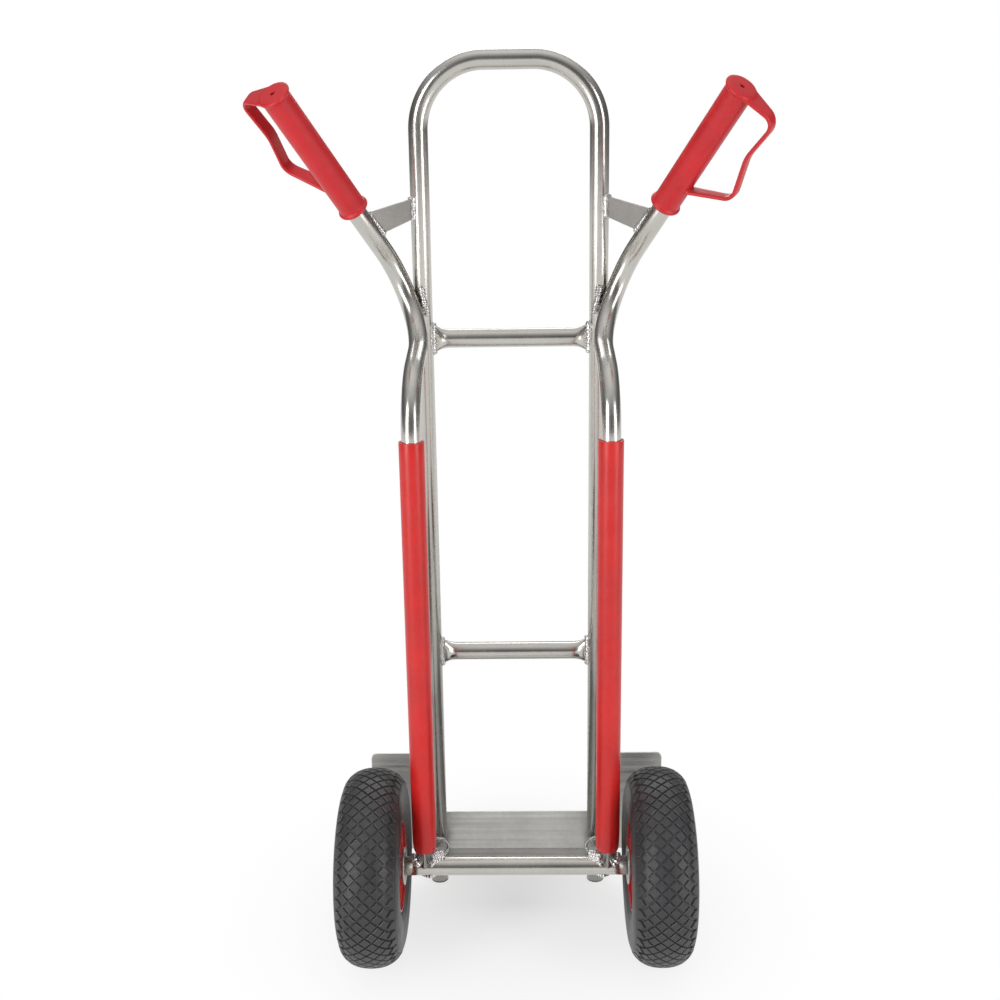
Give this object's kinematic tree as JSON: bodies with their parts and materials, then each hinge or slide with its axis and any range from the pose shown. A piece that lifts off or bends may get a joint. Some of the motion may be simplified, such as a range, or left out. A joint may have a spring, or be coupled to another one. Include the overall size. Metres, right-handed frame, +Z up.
{
  "type": "hand truck",
  "caption": "Upright hand truck of welded aluminium tube with a rounded loop back, slide rails, guarded grips, pneumatic wheels and a toe plate.",
  "frame": {"origin": "on the floor, at the centre of the object's box in X and Y", "axes": "+Z up, +Y to the front where the toe plate lies, -Y to the user and the wheels, X across"},
  "size_m": [0.614, 0.4898, 1.184],
  "materials": {
    "tube_aluminium": "polished with fine drawn lines",
    "sheet_aluminium": "mill finish, satin",
    "sleeve_plastic": "smooth semi-gloss",
    "grip_plastic": "moulded semi-gloss",
    "plug_plastic": "moulded",
    "rod_steel": "bright drawn",
    "zinc_steel": "zinc plated",
    "rim_paint": "gloss powder coat",
    "tyre_rubber": "moulded rubber",
    "tube_rubber": "smooth",
    "bearing_plastic": "moulded",
    "valve_rubber": "moulded"
  },
  "bodies": {
    "frame": {"main_loop_tube": "tube_aluminium", "upper_crossbar": "tube_aluminium", "lower_crossbar": "tube_aluminium", "left_handle_tube": "tube_aluminium", "right_handle_tube": "tube_aluminium", "axle_tube": "tube_aluminium", "left_axle_strut": "tube_aluminium", "right_axle_strut": "tube_aluminium", "wheel_guard_plate": "sheet_aluminium", "toe_plate": "sheet_aluminium", "left_handle_brace": "sheet_aluminium", "right_handle_brace": "sheet_aluminium", "left_skid_sleeve": "sleeve_plastic", "right_skid_sleeve": "sleeve_plastic", "left_grip": "grip_plastic", "right_grip": "grip_plastic", "loop_end_plugs": "plug_plastic", "axle_rod": "rod_steel", "left_cotter_pin": "rod_steel", "right_cotter_pin": "rod_steel", "left_inner_washer": "zinc_steel", "right_inner_washer": "zinc_steel", "left_outer_washer": "zinc_steel", "right_outer_washer": "zinc_steel"},
    "left_wheel": {"left_tyre": "tyre_rubber", "left_inner_tube": "tube_rubber", "left_rim_outer_half": "rim_paint", "left_rim_inner_half": "rim_paint", "left_hub_tube": "zinc_steel", "left_wheel_bearings": "bearing_plastic", "left_rim_bolts": "zinc_steel", "left_rim_nuts": "zinc_steel", "left_valve": "valve_rubber"},
    "right_wheel": {"right_tyre": "tyre_rubber", "right_inner_tube": "tube_rubber", "right_rim_outer_half": "rim_paint", "right_rim_inner_half": "rim_paint", "right_hub_tube": "zinc_steel", "right_wheel_bearings": "bearing_plastic", "right_rim_bolts": "zinc_steel", "right_rim_nuts": "zinc_steel", "right_valve": "valve_rubber"}
  },
  "joints": [
    {"name": "left_wheel_spin", "type": "hinge", "parent": "frame", "child": "left_wheel", "pos_m": [-0.191, -0.1149, 0.13], "axis": [1, 0, 0], "continuous": true},
    {"name": "right_wheel_spin", "type": "hinge", "parent": "frame", "child": "right_wheel", "pos_m": [0.191, -0.1149, 0.13], "axis": [1, 0, 0], "continuous": true}
  ]
}
